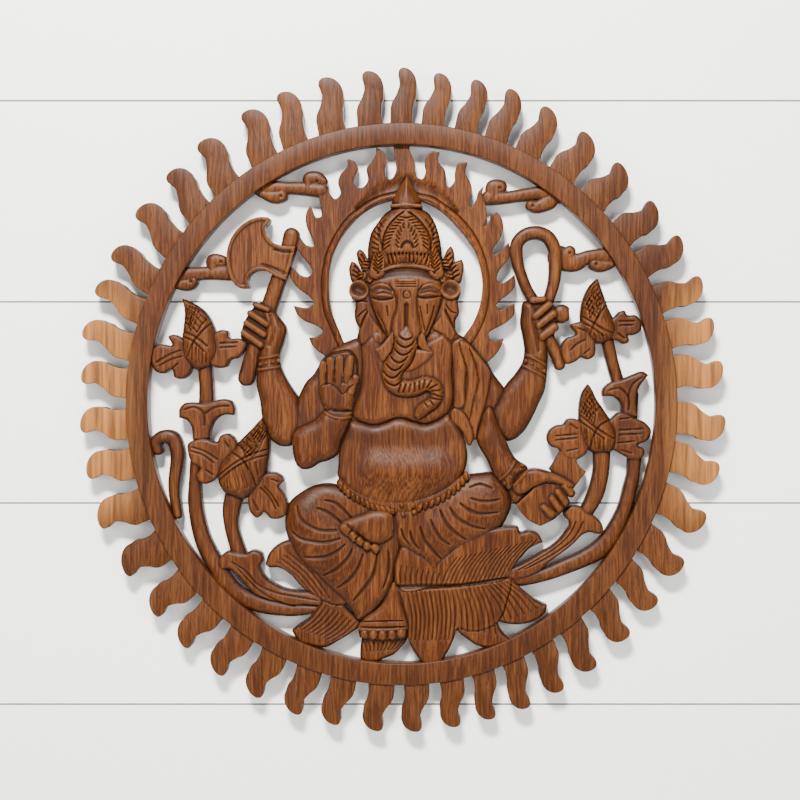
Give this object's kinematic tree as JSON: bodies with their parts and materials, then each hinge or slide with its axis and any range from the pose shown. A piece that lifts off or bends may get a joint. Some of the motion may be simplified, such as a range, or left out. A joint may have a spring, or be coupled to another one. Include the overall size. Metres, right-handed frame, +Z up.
{
  "type": "carved wall panel",
  "caption": "Round pierced wall panel of carved hardwood: a seated elephant-headed figure on a lotus, inside a ring with flame-shaped rays.",
  "frame": {"origin": "on the flat back, at the middle of the ring, where the panel lies on the wall", "axes": "+Z is up as the panel hangs, +X is to the viewer's right, +Y points into the wall and the carved front faces -Y"},
  "size_m": [0.5956, 0.026, 0.6131],
  "materials": {
    "wood": "satin oiled hardwood"
  },
  "bodies": {
    "root": {"carved_panel": "wood"}
  },
  "joints": []
}
